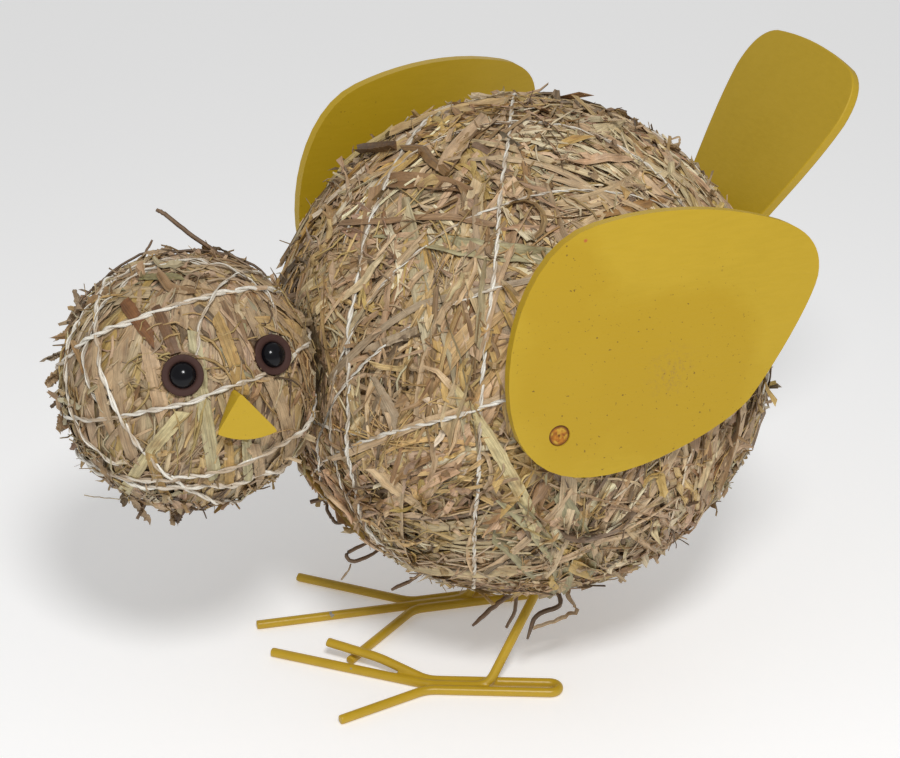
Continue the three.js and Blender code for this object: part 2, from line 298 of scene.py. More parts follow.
PAINT_GRID = 0.36  # fine enough to keep the wires round


def welded(name, nodes, material):
    """CAD wires run together under a coat of paint."""
    item = linked(name, as_mesh(name, copied_mesh(*nodes)))
    remesh = item.modifiers.new("run together", "REMESH")
    remesh.mode = "VOXEL"
    remesh.voxel_size = PAINT_GRID * MM
    relax = item.modifiers.new("relax", "SMOOTH")
    relax.iterations = 6
    relax.factor = 0.5
    flat = bpy.data.meshes.new_from_object(item.evaluated_get(bpy.context.evaluated_depsgraph_get()))
    item.modifiers.clear()
    item.data = flat
    flat.shade_smooth()
    flat.materials.clear()
    flat.materials.append(material)
    return item


# ---- keeping straw clear of the hard pieces ----

def behind_plane(points, normal, distance):
    """Points, measured from a ball's centre, pressed back behind a plane."""
    over = np.maximum(points @ normal - distance, 0)
    return points - over[..., None] * normal


WING_CLEARANCE = 0.25
NECK_CLEARANCE = 0.3
TAIL_LEAN = math.radians(32)
TAIL_ALONG = np.array([0, math.sin(TAIL_LEAN), math.cos(TAIL_LEAN)])
TAIL_NORMAL = np.array([0, -math.cos(TAIL_LEAN), math.sin(TAIL_LEAN)])
TAIL_OFFSET = -40.0  # the board's plane, from the body's centre
TAIL_START = 50.0  # the slit is open from here on, along the board
TAIL_MIDDLE = 2.0  # the board stands a little to the chick's left
TAIL_SLIT = (2.3, 22.8)  # half the slit's gap and half its length


def beside_tail(points):
    """Straw is parted by the tail board that is pushed through it."""
    across = points @ TAIL_NORMAL - TAIL_OFFSET
    gap, reach = TAIL_SLIT
    near = (np.abs(across) < gap) & (np.abs(points[..., 0] - TAIL_MIDDLE) < reach)
    inside = near & (points @ TAIL_ALONG > TAIL_START)
    target = np.where(across < 0, -gap, gap)
    shift = np.where(inside, target - across, 0)
    return points + shift[..., None] * TAIL_NORMAL


def clear_body(points):
    """Body straw kept behind the wings, this side of the neck and out of the tail board."""
    for normal, distance in WINGS:
        points = behind_plane(points, normal, distance - WING_CLEARANCE)
    points = behind_plane(points, NECK, NECK_FLAT - NECK_CLEARANCE)
    return beside_tail(points)


def clear_head(points):
    """Head straw kept behind the eyes and the beak, and this side of the neck."""
    for eye in EYES.values():
        centre = eye["spot"] * EYE_FRONT
        height = (points - centre) @ eye["normal"]
        aside = np.linalg.norm(points - centre - height[..., None] * eye["normal"], axis=-1)
        over = np.where((aside < EYE_RADIUS + 0.5) & (height > -EYE_BED), height + EYE_BED, 0)
        points = points - over[..., None] * eye["normal"]
    height = points @ BEAK_SPOT - HEAD_COAT
    aside = np.linalg.norm(points - (points @ BEAK_SPOT)[..., None] * BEAK_SPOT, axis=-1)
    over = np.where((aside < BEAK_REACH) & (height > -BEAK_BED), height + BEAK_BED, 0)
    points = points - over[..., None] * BEAK_SPOT
    return behind_plane(points, -NECK, HEAD_FLAT - NECK_CLEARANCE)


# ---- straw ----

STRAW_TONES = [
    (linear(197, 167, 132), 30),  # pinkish tan
    (linear(205, 181, 142), 22),  # beige
    (linear(200, 170, 117), 15),  # straw
    (linear(204, 172, 104), 6),  # yellow
    (linear(164, 131, 91), 12),  # brown
    (linear(176, 163, 127), 5),  # grey green
    (linear(130, 108, 84), 5),  # weathered
    # The bleached tone is partly painted highlight, standing in for bright near-white tops of strips.
    (linear(230, 216, 182), 6),  # bleached
]
FIBRE_TONES = [
    (linear(198, 168, 110), 28),  # yellow
    (linear(178, 145, 98), 22),  # golden brown
    (linear(196, 170, 136), 26),  # tan
    (linear(222, 206, 168), 12),  # pale
    (linear(120, 96, 70), 12),  # dark
]


TONE_JITTER = 0.08
FACE_CONE = 0.55  # cosine of the angle kept free about a direction
MOST_LIFT = 4  # no end of a strip stands higher than this


def pick_tones(rng, count, tones):
    """A colour for each strip, drawn by the weights in `tones`."""
    weights = np.array([weight for _, weight in tones], float)
    chosen = rng.choice(len(tones), count, p=weights / weights.sum())
    colours = np.array([colour for colour, _ in tones])[chosen]
    colours[:, :3] *= rng.normal(1, TONE_JITTER, (count, 1)) + rng.normal(0, TONE_JITTER / 3, (count, 3))
    return np.clip(colours, 0.005, 1)


def drift_field(seed):
    """A smooth random angle for every place on a ball, so that neighbouring strips lie alike."""
    waves = 5
    rng = np.random.default_rng(seed)
    vectors = rng.normal(size=(waves, 3)) * 3.0
    phases = rng.uniform(0, 2 * math.pi, waves)
    return lambda places: np.sin(places @ vectors.T + phases).sum(-1) / math.sqrt(waves)


def axes_at(here, along):
    """Directions on a ball at `here`: towards `along`, and across it."""
    across = np.cross(np.array(along, float), here)
    across /= np.linalg.norm(across, axis=-1, keepdims=True) + 1e-9
    return np.cross(here, across), across


def turned_by(vector, other, angle):
    """A vector turned by an angle towards another at right angles to it."""
    return vector * np.cos(angle) + other * np.sin(angle)


def scattered(rng, count, lie, length, width, along=(0, 0, 1), fan=0.7, stray=0.3, bundle=1, spread=1.1,
              tones=STRAW_TONES, bend=0.1, steps=9, keep_off=None):
    """Spines of strips lying on a ball in loose bundles: places, headings, sizes and tones.

    `stray` is the share of bundles that ignore the common drift, which varies by `fan` radians
    about `along`. None start near the direction `keep_off`.
    """
    groups = max(1, count // bundle)
    field = drift_field(5)
    middle = rng.normal(size=(groups * 3, 3))
    middle /= np.linalg.norm(middle, axis=1, keepdims=True)
    if keep_off is not None:
        middle = middle[middle @ keep_off < FACE_CONE]
    middle = middle[:groups]
    strays = rng.random(groups) < stray
    swing = np.where(strays, rng.uniform(-math.pi, math.pi, groups), field(middle) * fan)
    group_tone = pick_tones(rng, groups, tones)
    member = np.repeat(np.arange(groups), bundle)
    count = len(member)
    here = middle[member]
    swing = (swing[member] + rng.normal(0, 0.1, count))[:, None]
    towards, across = axes_at(here, along)
    heading = turned_by(towards, across, swing)
    lie_radius = rng.uniform(*lie, count)
    lengths = rng.uniform(*length, count)
    widths = rng.uniform(*width, count)
    aside = rng.normal(0, spread * bundle * 0.35, count) * widths.mean()
    beside = np.cross(here, heading)
    shift = (aside / lie_radius)[:, None]
    here = turned_by(here, beside, shift)
    start = ((rng.normal(0, 0.2, count) * lengths - lengths / 2) / lie_radius)[:, None]
    here, heading = turned_by(here, heading, start), turned_by(heading, -here, start)
    step = (lengths / lie_radius / (steps - 1))[:, None]
    drift = rng.normal(0, bend * 0.6, (groups, 1))[member] + rng.normal(0, bend * 0.2, (count, 1))
    spine = np.empty((count, steps, 3))
    for k in range(steps):
        spine[:, k] = here
        here, heading = turned_by(here, heading, step), turned_by(heading, -here, step)
        shared = rng.normal(0, bend * 0.5, (groups, 1))[member]
        turn = drift + shared + rng.normal(0, bend * 0.15, (count, 1))
        heading = turned_by(heading, np.cross(here, heading), turn)
    tone = group_tone[member]
    tone[:, :3] *= rng.normal(1, 0.07, (count, 1))
    return spine, lie_radius, lengths, widths, tone


def laid(paths, lie, steps=25):
    """Spines of single strips through given places: azimuth, elevation and, if raised, a height."""
    spines, radii, lengths = [], [], []
    for path in paths:
        knots = np.array([direction(*place[:2]) * (lie + sum(place[2:])) for place in path])
        t = np.linspace(0, len(knots) - 1, steps)
        line = np.stack([np.interp(t, np.arange(len(knots)), knots[:, k]) for k in range(3)], -1)
        for _ in range(3):
            line[1:-1] = (line[:-2] + line[1:-1] * 2 + line[2:]) / 4
        radius = np.linalg.norm(line, axis=1)
        if all(len(place) == 2 for place in path):
            radius = np.full(steps, lie)
        spines.append(line / np.linalg.norm(line, axis=1, keepdims=True))
        radii.append(radius)
        lengths.append(np.linalg.norm(np.diff(line, axis=0), axis=1).sum())
    return np.array(spines), np.array(radii), np.array(lengths)


def strips(name, material, rng, centre, clear, spine, lie_radius, lengths, widths, tone,
           thickness=0.14, roll=0.2, twist=0.2, rough=0.2, wave=0.4, lift=0.6, curl=0.3, torn=0.5,
           skew=0.7, ragged=0.05, shade=1.0, round_stem=False):
    """Strips of straw along spines on a ball.

    `lift` raises the ends, `curl` bows a strip across, `torn` narrows its ends and `skew` slants
    them, `ragged` frays its sides, `roll` and `twist` tip it about its own length, `wave` and
    `rough` bend it in and out.
    """
    count, steps, _ = spine.shape
    across = np.linspace(-1, 1, steps)
    base = lie_radius if lie_radius.ndim == 2 else np.repeat(lie_radius[:, None], steps, 1)
    forward = np.gradient(spine * base[..., None], axis=1)
    forward /= np.linalg.norm(forward, axis=-1, keepdims=True) + 1e-12
    outward = spine - (spine * forward).sum(-1, keepdims=True) * forward
    outward += 1e-3 * np.cross(forward, (0.3, 0.5, 0.8))
    outward /= np.linalg.norm(outward, axis=-1, keepdims=True)
    ends = np.minimum(rng.exponential(lift, (2, count, 1)), MOST_LIFT)
    radius = base + ends[0] * np.clip(-across, 0, 1) ** 3 + ends[1] * np.clip(across, 0, 1) ** 3
    cycles = rng.uniform(0.6, 2.4, (count, 1))
    radius = radius + wave * rng.random((count, 1)) * np.sin(
        cycles * math.pi * across + rng.uniform(0, 2 * math.pi, (count, 1)))
    radius += rng.normal(0, rough, (count, steps)) * 0.5
    middle = spine * radius[..., None]
    beside = np.cross(outward, forward)
    tilt = rng.normal(0, roll, (count, 1)) + rng.normal(0, twist, (count, 1)) * across
    tilt = (tilt + rng.normal(0, twist * 0.3, (count, steps)))[..., None]
    flat = turned_by(beside, outward, tilt)
    up = turned_by(outward, -beside, tilt)
    narrow = 1 - torn * rng.random((2, count, 1))
    taper = 1 - (1 - np.where(across < 0, narrow[0], narrow[1])) * np.abs(across) ** 4
    half = widths[:, None] / 2 * taper
    bow = rng.normal(0, curl, (count, 1)) * widths[:, None] / 2
    slant = rng.normal(0, skew, (2, count, 1)) * widths[:, None]
    slant = (np.where(across < 0, slant[0], slant[1]) * across ** 8)[..., None] * forward
    sides = []
    for sign in (-1, 1):
        swell = rng.normal(0, 0.08, (count, 1)) * np.sin(rng.uniform(1, 4, (count, 1)) * across + sign)
        reach = half * (1 + swell + rng.normal(0, ragged, (count, steps)))
        edge = middle + sign * flat * reach[..., None] - up * bow[..., None] + sign * slant * 0.5
        sides.append(edge)
    thick = half[..., None] if round_stem else np.full((count, steps, 1), thickness)
    section = np.stack([sides[0], middle + up * thick, sides[1], middle - up * thick], 2)
    points = clear(section.reshape(-1, 3))
    # `shade` multiplies a strip's tone: painted shade below 1, painted light above 1.
    tone = tone * np.array([shade, shade, shade, 1])
    tone = np.repeat(tone[:, None, :], steps, 1)
    tone[..., :3] *= 1 - 0.14 * (rng.random((count, 1)) * np.abs(across) ** 2)[..., None]
    tone = np.repeat(tone[:, :, None, :], 4, 2)
    run = np.linspace(0, 1, steps)[None, :] * lengths[:, None]
    offset = rng.uniform(0, 400, (count, 1, 1))
    aside = np.stack([-half, half * 0, half, half * 0], 2)
    grain = np.stack([aside + offset, np.repeat(run[..., None], 4, 2) + offset * 0.37], -1)
    return mesh_object(name, points + centre, tube_faces(count, steps, 4), material, smooth=round_stem,
                       tone=tone.reshape(-1, 4), grain=grain.reshape(-1, 2))


def straw_material(name, lines=1.0, gloss=0.5):
    """Dry leaf: fine veins along the strip, blotches, and the strip's own tone."""
    shader = Shader(name, roughness=gloss, specular=0.5)
    tone = shader.tone()
    veins = shader.noise(shader.grain((1.6 * lines, 0.04, 1)), 1.0, detail=6, roughness=0.85)
    blotch = shader.noise(shader.grain((0.3, 0.1, 1)), 1.0, detail=3)
    fade = shader.noise(shader.grain((0.5, 0.22, 1)), 1.0, detail=4, roughness=0.65)
    streaked = shader.mix(shader.spread(veins, 0.34, 0.64, 0.42, 1.22), (0.0, 0.0, 0.0, 1), tone)
    stain = shader.spread(blotch, 0.5, 0.72, 0.0, 0.55)
    stained = shader.mix(stain, streaked, linear(190, 152, 104), "MULTIPLY")
    grey = shader.spread(fade, 0.4, 0.68, 0.0, 0.4)
    faded = shader.mix(grey, stained, linear(120, 104, 88), "MULTIPLY")
    shader.colour(faded)
    shader.rough(shader.spread(veins, 0.3, 0.7, gloss + 0.12, gloss - 0.12))
    shader.bump(veins, 0.8, 0.2)
    return shader.material


def ground_material():
    """What shows between the strips: a dark packed ball, painted shade in the gaps."""
    shader = Shader("packed_hay", roughness=0.9, specular=0.2)
    chaff = shader.noise(shader.coordinates(), 420, detail=4)
    # Dark browns: painted shade between the strips.
    shader.colour(shader.mix(chaff, linear(48, 34, 20), linear(130, 100, 62)))
    shader.bump(chaff, 0.9, 1.0)
    return shader.material


# ---- twine ----

SUNK = 3.4  # how deep the hidden side of a ring goes under the straw
PLIES = 2
PLY_SIDES = 7
SECTIONS_PER_TURN = 12


def ring_path(ring, lie, points):
    """Points, outward directions and side directions where a ring's plane cuts a ball."""
    azimuth, elevation, offset = ring[:3]
    normal = direction(azimuth, elevation)
    first = unit(np.cross(normal, (0.3, 0.2, 0.93)))
    second = np.cross(normal, first)
    angle = np.linspace(0, 2 * math.pi, points, endpoint=False)[:, None]
    radius = math.sqrt(lie * lie - offset * offset)
    path = normal * offset + radius * (first * np.cos(angle) + second * np.sin(angle))
    outward = path / np.linalg.norm(path, axis=1, keepdims=True)
    if len(ring) > 3:
        sunk = np.clip(outward @ direction(*ring[3:]) * 3 - 0.3, 0, 1)
        path = path - outward * (sunk * SUNK)[:, None]
    return path, outward, np.broadcast_to(normal, path.shape)


def ripple(rng, along, size, waves):
    """A random sum of waves that closes on itself round a ring."""
    return sum(rng.normal(0, size) * np.sin(along * k + rng.uniform(0, 6.3)) for k in waves)


def winding(name, rng, centre, clear, rings, lie, ply, pitch):
    """Twine of twisted plies bound round a ball, each ring closed on itself.

    A ply of radius `ply` is a loose ribbon, so its section swells and flattens as it goes.
    """
    all_points, all_faces, all_tone, all_grain = [], [], [], []
    start = 0
    sides = PLY_SIDES
    around = np.linspace(0, 2 * math.pi, sides, endpoint=False)[None, :, None]
    for ring in rings:
        girth = 2 * math.pi * math.sqrt(lie * lie - ring[2] ** 2)
        turns = max(3, round(girth / pitch))
        count = turns * SECTIONS_PER_TURN
        path, outward, sideways = ring_path(ring, lie, count)
        along = np.linspace(0, 2 * math.pi, count, endpoint=False)
        wobble = ripple(rng, along, 0.3, (3, 5, 8, 13, 21))
        sway = ripple(rng, along, 0.26, (2, 3, 5, 9, 14))
        path = path + outward * (wobble * 0.6)[:, None] + sideways * sway[:, None]
        for strand in range(PLIES):
            phase = along * turns + 2 * math.pi * strand / PLIES + np.sin(along * 7 + strand) * 0.8
            swell = ply * (1 + 0.22 * np.sin(along * 37 + strand) + rng.normal(0, 0.07, count))
            aside = sideways * np.cos(phase)[:, None] + outward * np.sin(phase)[:, None]
            middle = path + aside * ply * 0.85
            flatness = (0.75 + 0.25 * np.sin(along * 23 + 2 * strand))[:, None, None]
            spin = rng.normal(0, 0.12, (1, sides, 1)) + around
            section = middle[:, None, :] + swell[:, None, None] * (
                sideways[:, None, :] * np.cos(spin) + outward[:, None, :] * np.sin(spin) * flatness)
            all_points.append(clear(section.reshape(-1, 3)))
            all_faces.append(tube_faces(1, count, sides, closed=True) + start)
            start += count * sides
            # Near white: the twine's own pale colour, raised further as painted highlight.
            tone = np.array(linear(246, 240, 226)) * rng.uniform(0.88, 1.0)
            all_tone.append(np.repeat(tone[None], count * sides, 0))
            run = np.repeat(np.arange(count) * girth / count, sides)
            across = np.tile(np.linspace(0, 1, sides), count) * 3.0 + rng.uniform(0, 99)
            all_grain.append(np.stack([across, run], -1))
    return mesh_object(name, np.vstack(all_points) + centre, np.vstack(all_faces), twine, smooth=True,
                       tone=np.vstack(all_tone), grain=np.vstack(all_grain))


def twine_material():
    """Pale shiny plies, duller in patches. The streaks rise to 1.2 times the tone: partly fibre lines, partly
    painted highlight.
    """
    shader = Shader("twine", roughness=0.3, specular=0.7)
    tone = shader.tone()
    fibre = shader.noise(shader.grain((3.0, 0.14, 1)), 1.6, detail=5, roughness=0.8)
    dull = shader.noise(shader.grain((0.1, 0.05, 1)), 1.0, detail=2)
    # Fibre streaks up to 1.2 times the tone, partly painted highlight.
    light = shader.mix(shader.spread(fibre, 0.34, 0.6, 0.35, 1.2), (0, 0, 0, 1), tone)
    patches = shader.spread(dull, 0.46, 0.6, 0, 0.75)
    shader.colour(shader.mix(patches, light, linear(184, 156, 120), "MULTIPLY"))
    shader.bump(fibre, 0.7, 0.15)
    return shader.material


# ---- paint, metal, plastic ----

def spot_mask(shader, place, spot, inner, outer, ragged):
    """One inside `inner` millimetres of a spot, nothing beyond `outer`, with a ragged edge between."""
    gap = shader.node("ShaderNodeVectorMath", operation="DISTANCE")
    shader.link(place, gap.inputs[0])
    gap.inputs[1].default_value = tuple(float(value) * MM for value in spot)
    edge = shader.math("MULTIPLY", shader.noise(place, 70, detail=4, roughness=0.6), ragged * MM)
    reach = shader.math("ADD", gap.outputs["Value"], edge)
    return shader.spread(reach, (inner + ragged / 2) * MM, (outer + ragged / 2) * MM, 1.0, 0.0)


def paint_material(name, base, stains=(), scuffs=(), flecks=()):
    """Brushed yellow paint on board, with stains, scuffed patches and reddish flecks at given spots."""
    shader = Shader(name, roughness=0.42, specular=0.4)
    place = shader.coordinates()
    mottle = shader.noise(place, 38, detail=4)
    brushed = shader.noise(shader.coordinates(scale=(300, 130, 900)), 1.0, detail=3, roughness=0.7)
    lumps = shader.noise(place, 420, detail=4, roughness=0.65)
    specks = shader.noise(place, 1000, detail=2, roughness=0.6)
    dirt = shader.spread(specks, 0.69, 0.72)
    patch = shader.noise(place, 26, detail=2)

    def shade(red, green, blue):
        return (base[0] * red, base[1] * green, base[2] * blue, 1)

    paint = shader.mix(shader.spread(mottle, 0.35, 0.68), base, shade(0.93, 0.93, 0.82))
    paint = shader.mix(shader.spread(brushed, 0.35, 0.65, 0, 0.5), paint, shade(1.05, 1.05, 1.3))
    grimy = shader.spread(patch, 0.52, 0.66)
    for spot, inner, outer in stains:
        near = spot_mask(shader, place, spot, inner, outer, ragged=14)
        paint = shader.mix(shader.math("MULTIPLY", near, 0.85), paint, shade(0.9, 0.86, 0.3))
        grimy = shader.math("MAXIMUM", grimy, near)
    for spot, inner, outer in scuffs:
        near = spot_mask(shader, place, spot, inner, outer, ragged=6)
        rubbed = shader.spread(shader.noise(place, 800, detail=5, roughness=0.75), 0.5, 0.64)
        rubbed = shader.math("MULTIPLY", rubbed, 0.5)
        paint = shader.mix(shader.math("MULTIPLY", near, rubbed), paint, linear(142, 110, 60))
        grimy = shader.math("MAXIMUM", grimy, near)
    dots = shader.math("MULTIPLY", shader.math("MULTIPLY", dirt, grimy), 0.8)
    paint = shader.mix(dots, paint, linear(92, 64, 20))
    for spot in flecks:
        fleck = spot_mask(shader, place, spot, 0.2, 0.6, ragged=5)
        paint = shader.mix(fleck, paint, linear(176, 100, 44))
    shader.colour(paint)
    shader.rough(shader.spread(mottle, 0.3, 0.7, 0.4, 0.55))
    shader.bump(shader.math("ADD", shader.math("MULTIPLY", lumps, 0.7), brushed), 0.45, 0.12)
    return shader.material


def wire_material():
    """Yellow paint on wire, chipped in a few places."""
    shader = Shader("painted_wire", roughness=0.36, specular=0.45)
    place = shader.coordinates()
    mottle = shader.noise(place, 150, detail=3)
    paint = shader.mix(mottle, linear(198, 163, 38), linear(182, 147, 32))
    chip = shader.spread(shader.noise(place, 260, detail=2, roughness=0.4), 0.735, 0.75)
    shader.colour(shader.mix(chip, paint, linear(150, 146, 138)))
    shader.bump(shader.noise(place, 700, detail=3), 0.35, 0.2)
    return shader.material


def rust_material(name, head=None):
    """Rusty steel. A screw head, given by its middle, keeps some paint inside a dark ragged rim."""
    shader = Shader(name, roughness=0.65, specular=0.3)
    place = shader.coordinates()
    rust = shader.noise(place, 900, detail=4, roughness=0.65)
    colour = shader.mix(shader.spread(rust, 0.35, 0.65), linear(132, 78, 20), linear(188, 122, 38))
    if head is not None:
        paint = shader.spread(shader.noise(place, 520, detail=3), 0.46, 0.6)
        colour = shader.mix(paint, colour, linear(192, 152, 52))
        within = spot_mask(shader, place, head, 2.0, 2.6, ragged=1.6)
        colour = shader.mix(within, linear(98, 54, 16), colour)
        pit = spot_mask(shader, place, head, 0.25, 0.55, ragged=0.5)
        colour = shader.mix(pit, colour, linear(84, 44, 14))
    shader.colour(colour)
    shader.bump(rust, 0.8, 0.3)
    return shader.material


def wood_material():
    shader = Shader("bare_wood", roughness=0.7, specular=0.3)
    rings = shader.noise(shader.coordinates(scale=(20, 900, 900)), 1.0, detail=3)
    shader.colour(shader.mix(rings, linear(196, 160, 110), linear(160, 120, 74)))
    return shader.material


def disc_material():
    shader = Shader("eye_disc", roughness=0.65, specular=0.2)
    dust = shader.noise(shader.coordinates(), 900, detail=3)
    shader.colour(shader.mix(dust, linear(58, 38, 33), linear(72, 48, 42)))
    shader.bump(dust, 0.15, 0.05)
    return shader.material


def button_material():
    shader = Shader("eye_button", roughness=0.16, specular=0.22)
    dust = shader.spread(shader.noise(shader.coordinates(), 1300, detail=2), 0.6, 0.8, 0.16, 0.3)
    tint = shader.noise(shader.coordinates(), 200, detail=1)
    shader.colour(shader.mix(tint, linear(8, 8, 12), linear(16, 16, 20)))
    shader.rough(dust)
    return shader.material


# ---- the balls ----

leaf = straw_material("straw_leaf")
fibre = straw_material("straw_fibre", lines=2.0, gloss=0.45)
painted_shade_hay = ground_material()
twine = twine_material()
ROLE = {"body": (BODY, BODY_COAT, clear_body, "torso"), "head": (HEAD, HEAD_COAT, clear_head, "head")}


def build_ground(which):
    """A closed ball just below the straw, so that no gap shows through. Its dark colour is painted shade."""
    centre, coat, clear, body = ROLE[which]
    shape = bmesh.new()
    bmesh.ops.create_icosphere(shape, subdivisions=5, radius=coat - 2.6)
    points = np.array([v.co[:] for v in shape.verts])
    faces = np.array([[v.index for v in face.verts] for face in shape.faces])
    shape.free()
    item = mesh_object(f"{which}_hay", clear(points) + centre, faces, painted_shade_hay, smooth=True)
    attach(item, body)


def straw_piece(name, which, material, rng, layout, look):
    """A piece called by its ball and its own name, which moves with the ball."""
    centre, _, clear, body = ROLE[which]
    piece = strips(f"{which}_{name}", material, rng, centre, clear, *layout, **look)
    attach(piece, body)
    return piece


def scatter(name, which, material, seed, look, lie, **spread):
    """One layer of straw, between two heights over a ball's coat.

    `look` goes to strips, the rest to scattered.
    """
    rng = np.random.default_rng(seed)
    layout = scattered(rng, lie=[ROLE[which][1] + height for height in lie], **spread)
    return straw_piece(name, which, material, rng, layout, look)


def lay(name, which, material, seed, height, kinds, **look):
    """Single strips that are easily noticed: each kind is (path, width, colour)."""
    paths, widths, colours = zip(*kinds)
    layout = (*laid(paths, ROLE[which][1] + height), np.array(widths), np.array(colours))
    return straw_piece(name, which, material, np.random.default_rng(seed), layout, look)


def wind(which, seed, rings, height, ply, pitch):
    """Twine round a ball, `height` over its coat."""
    centre, coat, clear, body = ROLE[which]
    rng = np.random.default_rng(seed)
    piece = winding(f"{which}_winding", rng, centre, clear, rings, coat + height, ply, pitch)
    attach(piece, body)
    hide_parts(f"{which}_twine")


# Colours of the strips that are laid one by one.
TAN = linear(198, 170, 132)
GREY = linear(170, 150, 122)
BROWN = linear(122, 98, 74)
CHESTNUT = linear(138, 92, 52)
GOLD = linear(192, 156, 92)
PALE = linear(212, 196, 146)
GREENISH = linear(202, 190, 146)
OLIVE = linear(150, 140, 96)


def dress_body():
    """Layers of straw on the body ball, deepest first, and last the ends that stand out all over it."""
    # Painted light: the body's straw is made 1.18 times lighter than the head's, to make up for the light it
    # lacks.
    painted_light_on_body = 1.18
    flat = {"lift": 0.3, "roll": 0.12, "twist": 0.12, "rough": 0.15}
    lying = {"shade": painted_light_on_body, "lift": 0.5, "roll": 0.22, "twist": 0.25, "rough": 0.22, "curl": 0.4}
    crumpled = {"shade": painted_light_on_body, "lift": 0.9, "roll": 0.35, "twist": 0.5, "rough": 0.5, "wave": 1.0,
                "curl": 0.45, "torn": 0.95, "ragged": 0.12}
    thin = {"shade": painted_light_on_body, "lift": 0.6, "rough": 0.4, "wave": 0.8, "round_stem": True, "curl": 0, "skew": 0}
    # The underlayer's tone times 0.92: painted shade under the layers above.
    base = scatter("underlayer", "body", leaf, 11, {**flat, "shade": 0.92}, count=1500, bundle=3,
                   lie=(-2.4, -0.8), length=(22, 55), width=(3, 7))
    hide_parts("body_straw_coat")
    scatter("leaves", "body", leaf, 12, lying, count=1900, bundle=5, spread=0.9,
            lie=(-1.4, 0.8), length=(20, 60), width=(2.2, 6.0), bend=0.1)
    scatter("slivers", "body", leaf, 13, {**lying, "roll": 0.35}, count=2700, bundle=9, spread=1.0,
            lie=(-0.8, 1.2), length=(18, 50), width=(0.7, 1.9), bend=0.14, fan=1.0)
    scatter("scraps", "body", leaf, 14, crumpled, count=950, bundle=3, stray=0.4, spread=1.8,
            lie=(-0.5, 1.0), length=(9, 28), width=(1.2, 3.8), bend=0.2)
    scatter("fibres", "body", fibre, 15, thin, count=1300, bundle=6, stray=0.3, spread=3,
            lie=(-0.4, 1.4), length=(16, 55), width=(0.25, 0.7), bend=0.25, steps=10, tones=FIBRE_TONES)
    lay("long_leaves", "body", leaf, 16, 1.5, [
        ([(-75, 8), (-64, 21), (-54, 30), (-38, 35), (-20, 38)], 2.0, GREY),
        ([(-74, -10), (-49, 6), (-32, 13), (-15, 18)], 2.4, TAN),
        ([(-42, 14), (-34, 4), (-27, -10), (-24, -22)], 3.6, PALE),
        ([(-61, -8), (-46, -18)], 4.6, linear(206, 178, 136)),
        ([(-62, 13), (-55, 4)], 4.4, GREY),
        ([(-65, 18), (-52, 25)], 2.4, GREY),
        ([(-91, 40), (-74, 45), (-51, 50), (-37, 49)], 2.0, linear(156, 124, 90)),
        ([(-58, 45), (-67, 31), (-72, 16)], 2.0, TAN),
        ([(-101, 62), (-84, 49), (-76, 36)], 2.4, GREY),
        ([(-17, -8), (-28, -25), (-43, -41), (-62, -50)], 2.4, TAN),
        ([(5, 52), (15, 54)], 4.0, BROWN),
        ([(-4, 50), (12, 51), (26, 50)], 3.0, linear(166, 126, 78)),
        ([(-20, 62), (10, 52), (24, 40)], 2.2, TAN),
    ], shade=painted_light_on_body, lift=0.5, roll=0.15, twist=0.3, rough=0.1, wave=0.3, torn=0.6)
    scatter("top_scraps", "body", leaf, 18, {**crumpled, "lift": 0.5}, count=90, bundle=2, stray=0.6,
            lie=(1.6, 2.3), length=(10, 30), width=(1.0, 3.0), bend=0.2)
    scatter("straps", "body", leaf, 19,
            {**lying, "lift": 0.3, "roll": 0.3, "curl": 0.5, "torn": 0.9}, count=150, bundle=2, stray=0.8,
            spread=1.5, lie=(0.4, 1.3), length=(40, 95), width=(0.9, 2.6), bend=0.06, steps=22)
    lay("stem", "body", leaf, 17, 2.2, [
        ([(-127, 50), (-112, 56), (-101, 60)], 3.0, linear(124, 92, 56)),
        ([(-100, 61), (-88, 64), (-75, 62), (-62, 60)], 2.8, linear(146, 112, 70)),
    ], lift=0.2, roll=0.1, twist=0.04, rough=0.04, wave=0.2, torn=0.6, curl=0.5, ragged=0.02,
        thickness=0.6)
    scatter("fuzz", "body", fibre, 21,
            {"lift": 1.1, "rough": 0.7, "wave": 1.4, "round_stem": True, "curl": 0, "skew": 0},
            count=520, stray=1, lie=(0.3, 1.3), length=(6, 22), width=(0.3, 0.8), bend=0.7,
            tones=FIBRE_TONES)
    scatter("frayed_leaves", "body", leaf, 22,
            {"lift": 1.7, "roll": 0.8, "twist": 0.8, "rough": 0.6, "wave": 1.0, "curl": 0.5,
             "torn": 0.95, "ragged": 0.14},
            count=400, stray=1, lie=(0, 1.4), length=(7, 20), width=(1.0, 3.0), bend=0.3)


